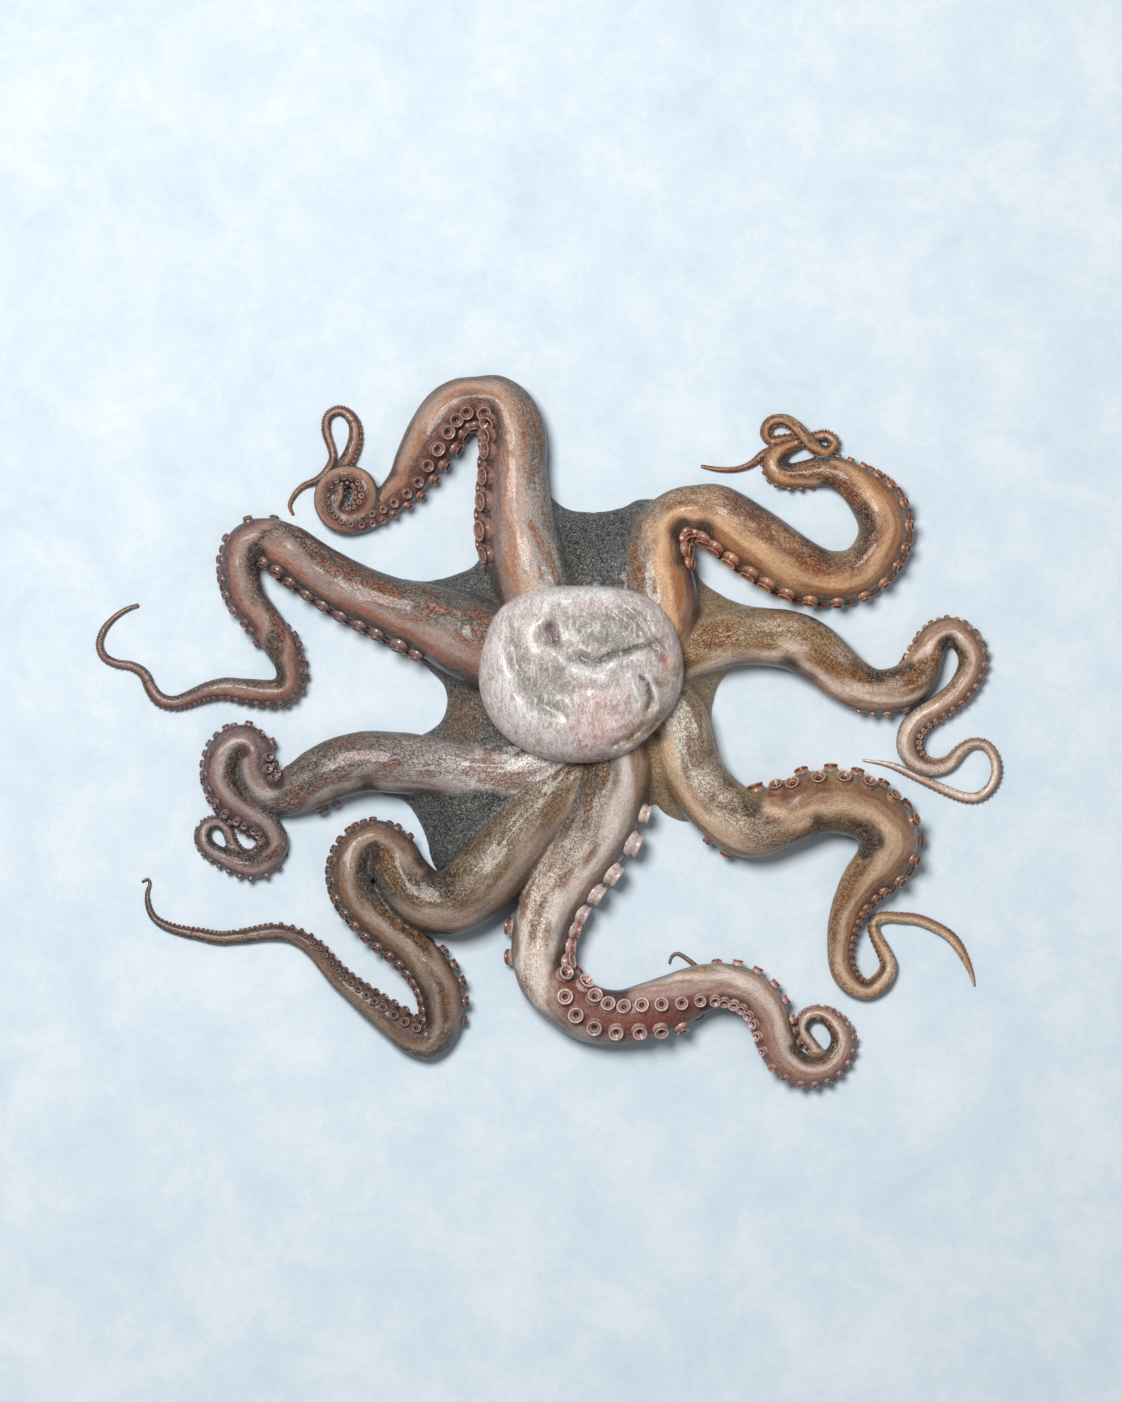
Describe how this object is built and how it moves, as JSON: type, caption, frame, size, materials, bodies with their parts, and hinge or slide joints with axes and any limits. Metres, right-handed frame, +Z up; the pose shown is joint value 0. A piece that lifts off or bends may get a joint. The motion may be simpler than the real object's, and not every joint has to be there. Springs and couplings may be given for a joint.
{
  "type": "whole octopus",
  "caption": "Whole raw octopus laid flat, with a rounded mantle, web between the arm roots and curling arms with rows of suckers.",
  "frame": {"origin": "middle of the octopus's outline at the height of the table it lies on", "axes": "+X to the side that the longest spread of arms reaches, +Y towards the top arm, +Z up off the table, with the back of the animal upwards"},
  "size_m": [0.5788, 0.4542, 0.0696],
  "materials": {
    "skin": "wet, satin to glossy, mottled grey-brown and ochre skin with paler suckers"
  },
  "bodies": {
    "root": {"octopus": "skin"}
  },
  "joints": []
}
